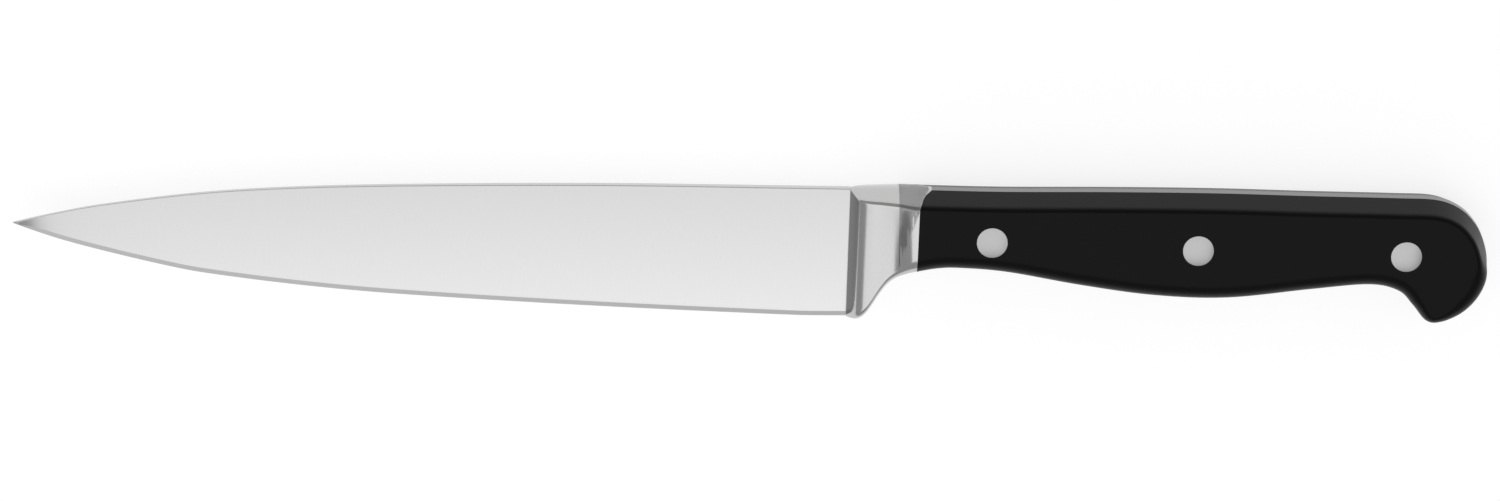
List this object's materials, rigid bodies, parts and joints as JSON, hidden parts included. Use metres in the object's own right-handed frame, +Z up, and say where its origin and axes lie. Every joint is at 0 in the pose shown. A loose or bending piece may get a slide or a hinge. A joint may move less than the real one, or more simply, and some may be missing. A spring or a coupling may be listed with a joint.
{
  "type": "carving knife",
  "caption": "Carving knife with a long narrow tapered blade, a full bolster and a black riveted full-tang handle with a hooked butt, lying on its side",
  "frame": {"origin": "Centre of the bounding box in plan, on the surface that the knife lies on", "axes": "+X from the tip to the butt, +Y from the cutting edge to the spine, +Z up through the thickness, from the right side to the left side"},
  "size_m": [0.2818, 0.0263, 0.016],
  "materials": {
    "blade_steel": "fine satin, polished bolster",
    "scale_plastic": "smooth semi-matt",
    "rivet_steel": "satin, ground flush"
  },
  "bodies": {
    "root": {"forging": "blade_steel", "scale_left": "scale_plastic", "scale_right": "scale_plastic", "rivet_front_tube": "rivet_steel", "rivet_front_pin": "rivet_steel", "rivet_middle_tube": "rivet_steel", "rivet_middle_pin": "rivet_steel", "rivet_rear_tube": "rivet_steel", "rivet_rear_pin": "rivet_steel"}
  },
  "joints": []
}
